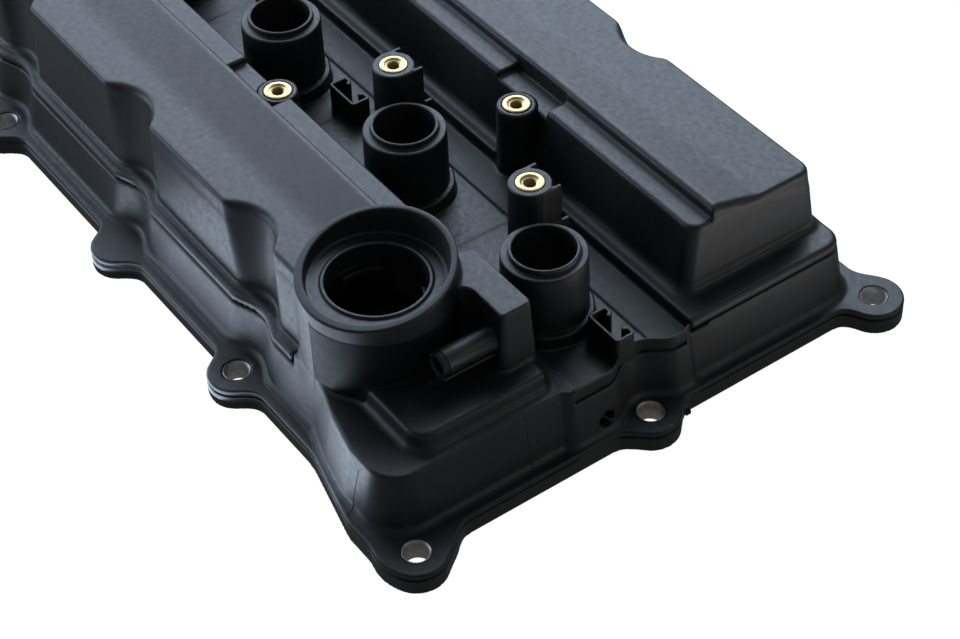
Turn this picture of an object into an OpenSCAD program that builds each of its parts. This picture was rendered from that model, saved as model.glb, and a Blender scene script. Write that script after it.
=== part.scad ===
// Moulded cylinder head cover for a four-cylinder twin-cam engine.
// +X runs along the engine towards the oil filler end, +Y to the side away from the filler,
// +Z up. The gasket face is z = 0 and the origin is at the middle of that face.

/* [Flange] */
// Length of the gasket flange without its ears
flange_l = 430; // [424:1:436]
// Width of the gasket flange without its ears
flange_w = 237; // [234:1:240]
// Thickness of the flange and its ears
flange_t = 10; // [8:0.5:12]
// Radius of a bolt ear
ear_r = 12.5; // [12:0.5:13]

/* [Body] */
// Wall thickness of the mouldings
wall = 3; // [2.6:0.1:3.4]
// Height of the top of the lower body
body_h = 36; // [35:0.5:38]
// Height of the valley floor between the two chambers
valley_z = 32; // [31:0.5:33]

/* [Plug tubes] */
// Distance between neighbouring cylinders
pitch = 96; // [96:1:97]
// Radius of the bore in a plug tube
tube_bore_r = 12.8; // [12:0.1:13.2]
// Outer radius of a plug tube
tube_r = 17.5; // [17:0.5:18]
// Height of the rim of a plug tube
tube_h = 70; // [68:1:72]

/* [Chambers] */
// Height of the roof's inner edge on both chambers
roof_high = 73; // [72:1:75]
// Height of the roof's outer edge on both chambers
roof_low = 61; // [60:1:63]
// Height of the ledge that runs beside each roof
ledge_z = 67; // [66:0.5:68]

/* [Oil filler] */
// Outer radius of the filler neck
neck_r = 31.5; // [31:0.5:32]
// Radius of the filler hole
filler_r = 20; // [19:0.5:21]

/* [Fasteners] */
// Inner radius of a bolt sleeve
sleeve_bore_r = 4.6; // [4:0.1:4.8]
// Outer radius of a bolt sleeve
sleeve_r = 5.8; // [5.6:0.1:6]
// Outer radius of a brass insert
insert_r = 6; // [5.8:0.1:6.2]
// Radius of the threaded hole in a brass insert
insert_bore_r = 2.5; // [2.4:0.1:2.6]

/* [Hidden] */
$fn = 64;
slip = 0.3;
over = 1;
half_l = flange_l / 2;
half_w = flange_w / 2;

// Bolt positions
corner_x = half_l + 2;
corner_y = 115;
end_x = half_l - 2;
side_x1 = 94;
side_x2 = -109;
blank_x = -3;
BOLTS = [
  [corner_x, -corner_y], [end_x, 0], [corner_x, corner_y],
  [-corner_x, -corner_y], [-end_x, 0], [-corner_x, corner_y],
  [side_x1, -half_w], [side_x2, -half_w],
  [side_x1, half_w], [side_x2, half_w]
];
BLANKS = [[blank_x, -half_w], [blank_x, half_w]];

// Lower body wall
wall_x = half_l - 8;
wall_y = half_w - 9.5;
wall_corner_r = 12;
flare_y = half_w;
scallop_r = 17;
scallop_end_r = 13;

// Tab of the gasket that shows at the end of the flange
tab_y = 15.5;
tab_l = 6.5;
tab_w = 3;
tab_h = 2;

// Plug tubes and coil bosses, from the filler end
tube_y = -15;
tube_x0 = 164;
TUBES = [for (i = [0:3]) tube_x0 - i * pitch];
coil_dx = -28;
coil_y = -1;
coil_z = 77;
coil_boss_r = 9;
side_pad_z = 65;
left_insert = [11.4, -41.5];
right_insert = [80.5, 33];
insert_l = 14;
side_boss_r = 8.5;
tube_ring_h = 2.5;
tube_ring_r = 14.3;
tube_foot_z = 5;
tube_foot_r = 20;
seal_r = 17;
seal_h = 8;
seal_in_r = 14.2;
seal_lip_r = 13.4;

// Chambers: y of the inner and outer foot, ledge and roof edges
left_in = -38.5;
left_roof_in = -52.5;
left_roof_out = -96.5;
left_foot = -102;
left_band = -108.5;
right_in = 36.5;
right_roof_in = 49;
right_roof_out = 95.5;
right_foot = 103;
lid_z = 33;
left_lid_z = 31;
lid_flange_t = 3;
chamber_x = 190;
left_near_x = 128;
baffle_z = 22;
baffle_t = 2;
baffle_pitch = 48;
left_baffle_x = 186;
baffle_end = 14;
baffle_slot_w = 5;
baffle_vane_t = 1.8;
baffle_vane_h = 16;
baffle_drain_r = 2.5;
gap_left = [-14, 21];
gap_right = [60.5, 94];

// Filler neck and breather block
neck_x = 140;
neck_y = -77;
neck_floor = 70;
neck_rim = 77;
neck_slope = 9.5;
neck_tilt = 2.3;
filler_sleeve_z = 45;
lug_z = 56;
lug_t = 4;
lug_room = 1;
lug_span = 55;
block_x0 = 150;
block_x1 = 188;
block_y0 = -52;
block_y1 = -38;
block_z = 72;
step_x0 = 152;
step_x1 = 197;
step_y0 = -97;
step_z = 44;
nipple_x = 180;
nipple_z = 56;
nipple_r = 5.3;
nipple_bore_r = 3.6;
nipple_l = 27;
nipple_tip = 4;

// Wiring clips in the valley
clip_x = [183, -2];
clip_y = -9;
clip_l = 20;
clip_w = 9.5;
clip_h = 13;
clip_t = 2;
clip_lip = 5;

// Crankcase ventilation valve in the left roof
pcv_x = -160;
pcv_y = -78;
pcv_seat_z = 64;
pcv_bottom = 44;
pcv_r = 8;
pcv_bore_r = 5.2;
pcv_floor = 3;
pcv_throat_z = 66;
pcv_throat_r = 3;
pcv_top = 82;
pcv_outlet_z = 76;
pcv_outlet_l = 30;
pcv_outlet_r = 4.8;
pcv_collar_r = 5.8;
pcv_collar_l = 12;
pcv_foot_r = 2.6;
plunger_disc_h = 2;
plunger_notch_r = 1.2;
plunger_stem_r = 2.4;
plunger_stem_l = 9;
plunger_tip_r = 0.9;
plunger_tip_l = 8;
spring_wire_r = 0.4;
spring_r = 3.9;
spring_turns = 6;

PLASTIC = [0.1, 0.11, 0.12];
BRASS = [0.85, 0.72, 0.4];
STEEL = [0.55, 0.52, 0.5];
RUBBER = [0.06, 0.06, 0.06];

// ---- Outlines ----

// A rectangle with round corners, made of plain arcs.
module rounded(x0, x1, y0, y1, r) {
  translate([x0 + r, y0]) square([x1 - x0 - 2 * r, y1 - y0]);
  translate([x0, y0 + r]) square([x1 - x0, y1 - y0 - 2 * r]);
  for (x = [x0 + r, x1 - r], y = [y0 + r, y1 - r]) translate([x, y]) circle(r);
}

// The corner by the filler stands further out than the rest of the left side.
module corner_flare(t) {
  polygon([
    [130, -wall_y + t], [160, -flare_y + 3 + t], [180, -flare_y + t],
    [wall_x - 16, -flare_y + t], [wall_x - t, -wall_y], [wall_x - t, -60], [130, -60]
  ]);
}

// Plan of the lower body wall, moved inwards by t.
module wall_outline(t) {
  difference() {
    union() {
      rounded(-wall_x + t, wall_x - t, -wall_y + t, wall_y - t, wall_corner_r - t);
      corner_flare(t);
    }
    for (p = concat(BOLTS, BLANKS))
      translate(p) circle(abs(p[0]) > 200 ? scallop_end_r + t : scallop_r + t);
  }
}

// Plan of the flange with its ears.
module flange_outline() {
  rounded(-half_l, half_l, -half_w, half_w, 8);
  for (p = BOLTS) translate(p) circle(ear_r);
  for (p = BLANKS) translate(p) circle(ear_r);
  polygon([
    [150, -half_w], [185, -corner_y - ear_r], [corner_x, -corner_y - ear_r],
    [corner_x, -corner_y], [150, -corner_y]
  ]);
}

// ---- Pieces of the body moulding ----

module ring_prism(z0, z1, t_out, t_in) {
  translate([0, 0, z0]) linear_extrude(z1 - z0) difference() {
    wall_outline(t_out);
    wall_outline(t_in);
  }
}

module flange() {
  difference() {
    linear_extrude(flange_t) difference() {
      flange_outline();
      wall_outline(wall + 1);
      for (p = BOLTS) translate(p) circle(sleeve_r);
    }
    translate([0, 0, -over]) linear_extrude(4 + over) gasket_outline();
    translate([half_l - 8, tab_y, -over]) cube([12, tab_w, tab_h + over]);
  }
}

// One deck plate of the body, cut to the plan of the wall.
module deck(x0, x1, y0, y1, z_top) {
  translate([0, 0, z_top - wall]) linear_extrude(wall) intersection() {
    wall_outline(0);
    translate([x0, y0]) square([x1 - x0, y1 - y0]);
  }
}

// A wall along the valley that carries a chamber lid.
module valley_wall(x1, y0, gap) {
  difference() {
    translate([-chamber_x, y0, baffle_z - 6])
      cube([x1 + chamber_x, wall, ledge_z - wall - baffle_z + 6]);
    translate([gap[0], y0 - over, side_pad_z - wall])
      cube([gap[1] - gap[0], wall + 2 * over, wall + over]);
  }
}

// Rails that the baffles are welded to, inside both chambers.
module baffle_rails() {
  ring_prism(baffle_z + baffle_t, baffle_z + baffle_t + 3, wall - over, wall + 2.5);
  translate([-chamber_x, left_in - wall - 2, baffle_z + baffle_t]) cube([chamber_x + block_x0, 3, 3]);
  translate([-chamber_x, right_in + wall - 1, baffle_z + baffle_t]) cube([2 * chamber_x, 3, 3]);
}

module plug_tube(x) {
  translate([x, tube_y, tube_foot_z]) cylinder(r = tube_foot_r, h = valley_z - tube_foot_z - wall);
  translate([x, tube_y, valley_z - wall - over])
    cylinder(r = tube_r, h = tube_h - tube_ring_h - valley_z + wall + over);
  translate([x, tube_y, valley_z]) cylinder(r = tube_ring_r, h = tube_h - valley_z);
}

module plug_tube_hole(x) {
  translate([x, tube_y, -over]) cylinder(r = tube_bore_r, h = tube_h + 2 * over);
  translate([x, tube_y, -over]) cylinder(r = seal_r, h = tube_foot_z + seal_h + over);
}

module coil_boss(x) {
  translate([x, coil_y, valley_z - over]) cylinder(r = coil_boss_r, h = coil_z - valley_z + over);
  for (s = [-1, 1])
    translate([x + s * (coil_boss_r - 1.5) - 1, coil_y, valley_z - over])
      cube([2, coil_boss_r + 8, coil_z - valley_z - 2]);
}

module side_boss(p, y_wall) {
  translate([p[0], p[1], valley_z - over]) cylinder(r = side_boss_r, h = side_pad_z - valley_z + over);
  translate([p[0] - side_boss_r, min(p[1], y_wall), valley_z - over])
    cube([2 * side_boss_r, abs(y_wall - p[1]), side_pad_z - valley_z + over]);
}

// Room in a lid for the boss that stands beside it.
module side_boss_room(p) {
  translate([p[0], p[1], 0]) cylinder(r = side_boss_r + slip, h = 90);
}

module insert_hole(x, y, z) {
  translate([x, y, z - insert_l]) cylinder(r = insert_r, h = insert_l + over);
}

module filler_neck() {
  difference() {
    translate([neck_x, neck_y, body_h - wall]) cylinder(r = neck_r, h = 60);
    translate([neck_x, neck_y, neck_rim]) rotate([neck_slope, neck_tilt, 0])
      translate([-60, -60, 0]) cube([120, 120, 60]);
    translate([neck_x, neck_y, neck_floor]) cylinder(r = neck_r - 3.5, h = 60);
    translate([neck_x, neck_y, baffle_z]) difference() {
      cylinder(r = neck_r - 3.5, h = neck_floor - wall - 1 - baffle_z);
      translate([0, 0, filler_sleeve_z - baffle_z]) cylinder(r = filler_r + wall, h = 60);
    }
  }
}

module bayonet_lugs() {
  for (a = [20, 140, 260])
    translate([neck_x, neck_y, lug_z]) rotate([0, 0, a])
      rotate_extrude(angle = lug_span) translate([filler_r - 2.5, 0]) square([3 + lug_room, lug_t]);
}

module breather_block() {
  translate([block_x0, block_y0, body_h - wall])
    cube([block_x1 - block_x0, block_y1 - block_y0, block_z - body_h + wall]);
  translate([step_x0, step_y0, body_h - wall])
    cube([step_x1 - step_x0, block_y0 + 2 - step_y0, step_z - body_h + wall]);
  translate([nipple_x, block_y0 + over, nipple_z]) rotate([90, 0, 0])
    cylinder(r = nipple_r, h = nipple_l - nipple_tip + over);
  translate([nipple_x, block_y0 - nipple_l + nipple_tip, nipple_z]) rotate([90, 0, 0])
    cylinder(r1 = nipple_r, r2 = nipple_r - 1, h = nipple_tip);
}

module breather_holes() {
  translate([block_x0 + wall, block_y0 + wall, baffle_z])
    cube([block_x1 - block_x0 - 2 * wall, block_y1 - block_y0 - 2 * wall, block_z - baffle_z - wall]);
  difference() {
    translate([step_x0 + wall, step_y0 + wall, baffle_z])
      cube([step_x1 - step_x0 - 2 * wall, block_y0 - step_y0 - wall, step_z - baffle_z - wall]);
    translate([neck_x, neck_y, baffle_z]) cylinder(r = neck_r, h = 40);
  }
  translate([nipple_x, block_y0 + wall + over, nipple_z]) rotate([90, 0, 0])
    cylinder(r = nipple_bore_r, h = nipple_l + wall + 2 * over);
}

// A wiring clip: a channel whose lips turn in over its open side.
module wire_clip(x0, y0) {
  translate([x0, y0, valley_z - over]) linear_extrude(clip_h) {
    square([clip_l, clip_t]);
    for (x = [0, clip_l - clip_t]) translate([x, 0]) square([clip_t, clip_w]);
    for (x = [0, clip_l - clip_lip]) translate([x, clip_w - clip_t]) square([clip_lip, clip_t]);
  }
}

// ---- Chamber lids ----

// Section through the left lid, seen along +X: the outside at t = 0, the hollow at t = wall.
module left_section(t) {
  polygon([
    [left_foot + t, left_lid_z - t * 2], [left_foot + t, left_lid_z + lid_flange_t],
    [left_roof_out + t, roof_low - t], [left_roof_in - t, roof_high - t],
    [left_roof_in - t, ledge_z - t], [left_in - (wall + slip) * t / wall, ledge_z - t],
    [left_in - (wall + slip) * t / wall, ledge_z - wall],
    [left_in - wall - slip, ledge_z - wall], [left_in - wall - slip, left_lid_z - t * 2]
  ]);
}

module right_section(t) {
  polygon([
    [right_in + wall + slip, lid_z - t * 2], [right_in + wall + slip, ledge_z - wall],
    [right_in + (wall + slip) * t / wall, ledge_z - wall],
    [right_in + (wall + slip) * t / wall, ledge_z - t],
    [right_roof_in + t, ledge_z - t], [right_roof_in + t, roof_high - t],
    [right_roof_out - t, roof_low - t], [right_foot - t, body_h], [right_foot - t, lid_z - t * 2]
  ]);
}

// Turns a section in Y and Z into a bar from x0 to x1.
module along_x(x0, x1) {
  translate([x0, 0, 0]) rotate([90, 0, 90]) linear_extrude(x1 - x0) children();
}

module side_scallops(side, r, z0) {
  for (x = [side_x1, blank_x, side_x2])
    translate([x, side * half_w, z0]) cylinder(r = r, h = 80);
}

// Hollows in a lid's wall over the bolt ears, wider towards the roof.
module lid_scallops(side, t) {
  for (x = [side_x1, blank_x, side_x2])
    translate([x, side * half_w, body_h - 5])
      cylinder(r1 = scallop_r + 3 + t, r2 = scallop_r + 14 + t, h = 34);
}

module cover_body() color(PLASTIC) difference() {
  union() {
    flange();
    ring_prism(flange_t - over, left_lid_z, 0, wall);
    deck(-wall_x, wall_x, left_in, right_in, valley_z);
    deck(left_near_x + 1, wall_x, -flare_y, left_in, body_h);
    deck(-wall_x, -chamber_x - slip, -wall_y, left_in, body_h);
    intersection() {
      ring_prism(flange_t, body_h, 0, wall);
      translate([left_near_x + 1, -flare_y, flange_t]) cube([wall_x, flare_y + right_in, 40]);
    }
    intersection() {
      ring_prism(flange_t, body_h, 0, wall);
      translate([-wall_x - over, -wall_y, flange_t])
        cube([wall_x + over - chamber_x - slip, wall_y + right_in, 40]);
    }
    intersection() {
      ring_prism(left_lid_z - over, lid_z, 0, wall);
      translate([-wall_x, right_in, 0]) cube([2 * wall_x, wall_y, 40]);
    }
    valley_wall(block_x1, left_in - wall, gap_left);
    valley_wall(chamber_x, right_in, gap_right);
    baffle_rails();
    for (x = TUBES) plug_tube(x);
    for (x = TUBES) coil_boss(x + coil_dx);
    side_boss(left_insert, left_in);
    side_boss(right_insert, right_in);
    filler_neck();
    bayonet_lugs();
    breather_block();
    for (x = clip_x) wire_clip(x, clip_y);
  }
  for (x = TUBES) plug_tube_hole(x);
  for (x = TUBES) insert_hole(x + coil_dx, coil_y, coil_z);
  insert_hole(left_insert[0], left_insert[1], side_pad_z);
  insert_hole(right_insert[0], right_insert[1], side_pad_z);
  difference() {
    union() {
      translate([neck_x, neck_y, baffle_z - 10]) cylinder(r = filler_r, h = 80);
      translate([neck_x, neck_y, baffle_z - 10])
        cylinder(r = filler_r + lug_room, h = lug_z + lug_t + lug_room - baffle_z + 10);
    }
    bayonet_lugs();
  }
  breather_holes();
}

module left_chamber_lid() color(PLASTIC) difference() {
  union() {
    difference() {
      along_x(-chamber_x, left_near_x) left_section(0);
      lid_scallops(-1, 0);
    }
    translate([0, 0, left_lid_z]) linear_extrude(lid_flange_t) intersection() {
      wall_outline(0);
      translate([-chamber_x, left_band]) square([chamber_x + left_near_x, 20]);
    }
    translate([pcv_x, pcv_y, 48]) cylinder(r = pcv_r + 4, h = pcv_seat_z + 3 - 48);
  }
  difference() {
    along_x(-chamber_x + wall, left_near_x + over) left_section(wall);
    lid_scallops(-1, wall);
    side_scallops(-1, scallop_r + 3 + wall, 0);
    translate([neck_x, neck_y, 0]) cylinder(r = neck_r + slip + wall, h = 90);
    translate([pcv_x, pcv_y, 48]) cylinder(r = pcv_r + 4, h = 40);
    translate([gap_left[0] - wall, left_roof_in - wall, side_pad_z - 2 * wall])
      cube([gap_left[1] - gap_left[0] + 2 * wall, left_in - left_roof_in + wall, 20]);
  }
  translate([gap_left[0], left_roof_in, side_pad_z - wall - slip])
    cube([gap_left[1] - gap_left[0], left_in - left_roof_in + over, 20]);
  translate([neck_x, neck_y, 0]) cylinder(r = neck_r + slip, h = 90);
  translate([pcv_x, pcv_y, 40]) cylinder(r = pcv_r + 0.4, h = 40);
  translate([pcv_x, pcv_y, pcv_seat_z + 3]) cylinder(r = pcv_r + 3 + slip, h = 20);
  side_boss_room(left_insert);
}

module right_chamber_lid() color(PLASTIC) difference() {
  union() {
    difference() {
      along_x(-chamber_x, chamber_x) right_section(0);
      lid_scallops(1, 0);
    }
    translate([0, 0, lid_z]) linear_extrude(lid_flange_t) intersection() {
      wall_outline(0);
      difference() {
        translate([-wall_x, right_in]) square([2 * wall_x, wall_y]);
        translate([-chamber_x, 0]) square([2 * chamber_x, right_in + wall + slip]);
      }
    }
  }
  difference() {
    along_x(-chamber_x + wall, chamber_x - wall) right_section(wall);
    lid_scallops(1, wall);
    side_scallops(1, scallop_r + 3 + wall, 0);
    translate([gap_right[0] - wall, right_in, side_pad_z - 2 * wall])
      cube([gap_right[1] - gap_right[0] + 2 * wall, right_roof_in - right_in + wall, 20]);
  }
  translate([gap_right[0], right_in - over, side_pad_z - wall - slip])
    cube([gap_right[1] - gap_right[0], right_roof_in - right_in + over, 20]);
  side_boss_room(right_insert);
}

// ---- Baffles ----

// A plate under a chamber with slots that turn the oil mist and holes that let oil drain.
module baffle(x0, x1, y0, y1) {
  difference() {
    translate([x0, y0, baffle_z]) cube([x1 - x0, y1 - y0, baffle_t]);
    for (x = [x0 + 30:baffle_pitch:x1 - 20])
      translate([x, y0 + baffle_end, baffle_z - over])
        cube([baffle_slot_w, y1 - y0 - 2 * baffle_end, baffle_t + 2 * over]);
    for (x = [x0 + 12, x1 - 12])
      translate([x, y0 + 8, baffle_z - over]) cylinder(r = baffle_drain_r, h = baffle_t + 2 * over);
  }
  for (x = [x0 + 30:baffle_pitch:x1 - 20])
    translate([x - 2, y0 + baffle_end, baffle_z + baffle_t - 0.5])
      cube([baffle_vane_t, y1 - y0 - 2 * baffle_end, baffle_vane_h]);
}

module left_baffle() color(PLASTIC) difference() {
  baffle(-chamber_x, left_baffle_x, -wall_y + wall + slip, left_in - wall - slip);
  side_scallops(-1, scallop_r + wall + slip, 0);
}

module right_baffle() color(PLASTIC) difference() {
  baffle(-chamber_x, chamber_x, right_in + wall + slip, wall_y - wall - slip);
  side_scallops(1, scallop_r + wall + slip, 0);
}

// ---- Seals ----

module gasket_outline() difference() {
  wall_outline(-4.4);
  wall_outline(-0.6);
}

module cover_gasket() color(RUBBER) {
  linear_extrude(4) gasket_outline();
  translate([half_l - 5, tab_y + slip, 0]) cube([tab_l, tab_w - 2 * slip, tab_h - slip]);
}

module plug_tube_seal(i) color(RUBBER) translate([TUBES[i], tube_y, 0]) rotate_extrude()
  polygon([
    [seal_r, tube_foot_z], [seal_r, tube_foot_z + seal_h], [seal_in_r, tube_foot_z + seal_h],
    [seal_in_r, tube_foot_z + 5], [seal_lip_r, tube_foot_z + 3], [seal_in_r, tube_foot_z + 1.5],
    [seal_in_r, tube_foot_z]
  ]);

// ---- Metal fittings ----

module threaded_insert(x, y, z) color(BRASS) translate([x, y, z - insert_l]) difference() {
  union() {
    cylinder(r = insert_r, h = insert_l);
    translate([0, 0, insert_l]) cylinder(r = insert_r, h = 0.3);
  }
  translate([0, 0, 2]) cylinder(r = insert_bore_r, h = insert_l);
}

module coil_insert(i) threaded_insert(TUBES[i] + coil_dx, coil_y, coil_z);

module left_trim_insert() threaded_insert(left_insert[0], left_insert[1], side_pad_z);

module right_trim_insert() threaded_insert(right_insert[0], right_insert[1], side_pad_z);

module bolt_sleeve(i) color(STEEL) translate(BOLTS[i]) difference() {
  cylinder(r = sleeve_r, h = flange_t);
  translate([0, 0, -over]) cylinder(r = sleeve_bore_r, h = flange_t + 2 * over);
}

// ---- Ventilation valve ----

module vent_valve_housing() color(PLASTIC) translate([pcv_x, pcv_y, 0]) difference() {
  union() {
    translate([0, 0, pcv_bottom]) cylinder(r = pcv_r, h = pcv_seat_z + 3 - pcv_bottom);
    translate([0, 0, pcv_seat_z + 3]) cylinder(r = pcv_r + 3, h = 3);
    translate([0, 0, pcv_seat_z + 5]) cylinder(r = pcv_r, h = pcv_top - pcv_seat_z - 5);
    translate([0, 0, pcv_outlet_z]) rotate([0, -90, 0]) cylinder(r = pcv_collar_r, h = pcv_collar_l);
    translate([0, 0, pcv_outlet_z]) rotate([0, -90, 0]) cylinder(r = pcv_outlet_r, h = pcv_outlet_l);
    translate([-pcv_outlet_l, 0, pcv_outlet_z]) rotate([0, -90, 0])
      cylinder(r1 = pcv_outlet_r, r2 = pcv_outlet_r - 1, h = nipple_tip);
  }
  translate([0, 0, pcv_bottom + pcv_floor])
    cylinder(r = pcv_bore_r, h = pcv_throat_z - pcv_bottom - pcv_floor);
  translate([0, 0, pcv_bottom - over]) cylinder(r = pcv_foot_r, h = pcv_floor + 2 * over);
  translate([0, 0, pcv_throat_z - over]) cylinder(r = pcv_throat_r, h = 3);
  translate([0, 0, pcv_throat_z + 2]) cylinder(r = pcv_bore_r, h = pcv_top - pcv_throat_z - 4);
  translate([0, 0, pcv_outlet_z]) rotate([0, -90, 0]) cylinder(r = 3, h = 40);
  translate([0, 0, pcv_seat_z - 3.2]) rotate_extrude() translate([pcv_r - 0.5, 0]) circle(r = 1.05);
}

module vent_valve_plunger() color(STEEL) translate([pcv_x, pcv_y, pcv_bottom + pcv_floor + 0.05]) {
  difference() {
    cylinder(r = pcv_bore_r - 0.1, h = plunger_disc_h);
    for (a = [0:90:270]) rotate([0, 0, a])
      translate([pcv_bore_r, 0, -over]) cylinder(r = plunger_notch_r, h = plunger_disc_h + 2 * over);
  }
  cylinder(r = plunger_stem_r, h = plunger_stem_l);
  translate([0, 0, plunger_stem_l])
    cylinder(r1 = plunger_stem_r, r2 = plunger_tip_r, h = plunger_tip_l);
}

// Points of the spring's ring of wire at turn fraction u.
function coil_centre(u, z0, h) = [
  spring_r * cos(360 * spring_turns * u), spring_r * sin(360 * spring_turns * u), z0 + h * u
];
function coil_ring(u, z0, h) = [
  for (k = [0:7]) coil_centre(u, z0, h) + spring_wire_r * [
    cos(45 * k) * cos(360 * spring_turns * u), cos(45 * k) * sin(360 * spring_turns * u), sin(45 * k)
  ]
];

module vent_valve_spring() color(STEEL) translate([pcv_x, pcv_y, 0]) {
  z0 = pcv_bottom + pcv_floor + 2.05 + spring_wire_r + 0.1;
  h = pcv_throat_z - z0 - spring_wire_r - 0.1;
  steps = spring_turns * 16;
  points = [for (i = [0:steps]) each coil_ring(i / steps, z0, h)];
  sides = [
    for (i = [0:steps - 1], k = [0:7])
      [i * 8 + k, i * 8 + (k + 1) % 8, (i + 1) * 8 + (k + 1) % 8, (i + 1) * 8 + k]
  ];
  start = [for (k = [7:-1:0]) k];
  end = [for (k = [0:7]) steps * 8 + k];
  polyhedron(points, concat(sides, [start], [end]));
}

module vent_valve_ring() color(RUBBER) translate([pcv_x, pcv_y, pcv_seat_z - 3.2])
  rotate_extrude() intersection() {
    translate([pcv_r - 0.5, 0]) circle(r = 1);
    translate([0, -2]) square([pcv_r + 0.4, 4]);
  }

cover_body();
left_chamber_lid();
right_chamber_lid();
left_baffle();
right_baffle();
cover_gasket();
left_trim_insert();
right_trim_insert();
vent_valve_housing();
vent_valve_plunger();
vent_valve_spring();
vent_valve_ring();
for (i = [0:3]) plug_tube_seal(i);
for (i = [0:3]) coil_insert(i);
for (i = [0:len(BOLTS) - 1]) bolt_sleeve(i);
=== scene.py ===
"""Looks of the moulded cylinder head cover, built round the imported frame.

The mouldings are solids described by signed distances in millimetres. They are sampled on
grids, turned into meshes, and set in metres in the frame's own axes.
"""

import bpy
import numpy as np
from mathutils import Matrix, Vector


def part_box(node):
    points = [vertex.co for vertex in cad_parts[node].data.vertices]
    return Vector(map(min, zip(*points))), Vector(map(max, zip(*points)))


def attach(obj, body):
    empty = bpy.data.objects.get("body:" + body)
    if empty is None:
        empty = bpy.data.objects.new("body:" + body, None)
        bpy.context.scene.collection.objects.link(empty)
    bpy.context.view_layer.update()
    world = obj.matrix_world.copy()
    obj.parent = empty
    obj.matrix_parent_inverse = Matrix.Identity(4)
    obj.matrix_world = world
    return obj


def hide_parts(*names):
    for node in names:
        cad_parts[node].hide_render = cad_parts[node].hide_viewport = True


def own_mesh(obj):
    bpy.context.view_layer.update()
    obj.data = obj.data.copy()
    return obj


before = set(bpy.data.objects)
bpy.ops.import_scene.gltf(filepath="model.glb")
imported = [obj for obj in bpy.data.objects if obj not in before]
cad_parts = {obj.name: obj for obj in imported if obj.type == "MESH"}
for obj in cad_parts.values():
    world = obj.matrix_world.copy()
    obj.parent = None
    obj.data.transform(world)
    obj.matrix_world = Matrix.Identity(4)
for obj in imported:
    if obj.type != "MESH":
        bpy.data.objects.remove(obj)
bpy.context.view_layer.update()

MM = 0.001
FAR = 300.0
COARSE = 1.0
FINE = 0.55

BELOW, ABOVE = -5, 90  # heights clear of the whole cover, for cuts that go right through

# ---- Dimensions, in millimetres ----
FLANGE_T = 10.0
VALLEY_Z = 32.0  # top of the valley floor
BODY_Z = 36.0  # rim of the lower moulding
LIP_Z = 30.0  # foot of the left chamber
SHELF_Z = 33.0  # foot of the right chamber
WALL_LEAN = 0.16
SKIN = 3.5  # from the wall's plan in to the open underside
TUBE_Y = -15.0
TUBE_BORE_R = 12.8
TUBE_ROOT_R = 17.2
SEAL_SEAT_R = 17.0
COIL_Y = -1.0
COIL_Z = 76.9
COIL_ROOT_R = 8.4
PAD_Z = 64.9  # tops of the trim insert bosses
PAD_R = 8.6
INSERT_HOLE_R = 5.9
INSERT_L = 14
LEDGE_Z = 67.0
RISE_Y = {1: 49.0, -1: -52.5}  # where each roof rises from its ledge, by side
RIGHT_GAP = (60.5, 94.0)  # breaks in the ledges beside the trim inserts, along X
LEFT_GAP = (-14.0, 21.0)


def node_centre(node):
    """Middle of a CAD node's box in plan, in millimetres."""
    low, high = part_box(node)
    return (low.x + high.x) / 2 / MM, (low.y + high.y) / 2 / MM


BOLTS = [node_centre(f"bolt_sleeve_{i + 1}") for i in range(10)]
TUBES = [node_centre(f"plug_tube_seal_{i + 1}")[0] for i in range(4)]
COILS = [node_centre(f"coil_insert_{i + 1}")[0] for i in range(4)]
LEFT_INSERT = node_centre("left_trim_insert")
RIGHT_INSERT = node_centre("right_trim_insert")
VALVE = node_centre("vent_valve_ring")
SIDE_BOLTS = sorted({round(x, 1) for x, y in BOLTS if abs(x) < 200}, reverse=True)
BLANK_X = -3.0  # the ears without a bolt
EAR_Y = max(y for x, y in BOLTS)
BLANKS = [(BLANK_X, -EAR_Y), (BLANK_X, EAR_Y)]
EAR_R = 12.5
END_X = 213  # the bolts at the two ends
SPIGOT_X = 180.2
SLEEVE_R = 5.8
NECK = (140.0, -77.0)
NECK_R = 31.5


# ---- Distances ----
def join(a, b, fillet=0.0):
    """Union of two solids, with a concave fillet where they meet."""
    if fillet <= 0:
        return np.minimum(a, b)
    reach = np.hypot(np.maximum(fillet - a, 0), np.maximum(fillet - b, 0))
    return np.maximum(np.minimum(a, b), fillet) - reach


def meet(a, b, edge=0.0):
    """What two solids share, with a round convex edge."""
    return -join(-a, -b, edge)


def outline(corners):
    """Closed outline from (x, y, radius) corners, each rounded by its own arc."""
    points = []
    places = np.array([c[:2] for c in corners], float)
    for i, (_, _, radius) in enumerate(corners):
        here = places[i]
        back = places[i - 1] - here
        ahead = places[(i + 1) % len(places)] - here
        back_l, ahead_l = np.hypot(*back), np.hypot(*ahead)
        back, ahead = back / back_l, ahead / ahead_l
        half = np.arccos(np.clip(back @ ahead, -1, 1)) / 2
        if radius <= 0 or half > 1.55:
            points.append(here)
            continue
        cut = min(radius / np.tan(half), 0.49 * back_l, 0.49 * ahead_l)
        radius = cut * np.tan(half)
        middle = (back + ahead) / np.hypot(*(back + ahead))
        centre = here + middle * radius / np.sin(half)
        first, last = here + back * cut - centre, here + ahead * cut - centre
        turn = np.arctan2(first[0] * last[1] - first[1] * last[0], first @ last)
        steps = max(2, int(abs(turn) * radius / 1.2) + 2)
        for t in np.linspace(0, turn, steps):
            c, s = np.cos(t), np.sin(t)
            points.append(centre + [c * first[0] - s * first[1], s * first[0] + c * first[1]])
    return np.array(points)


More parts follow.
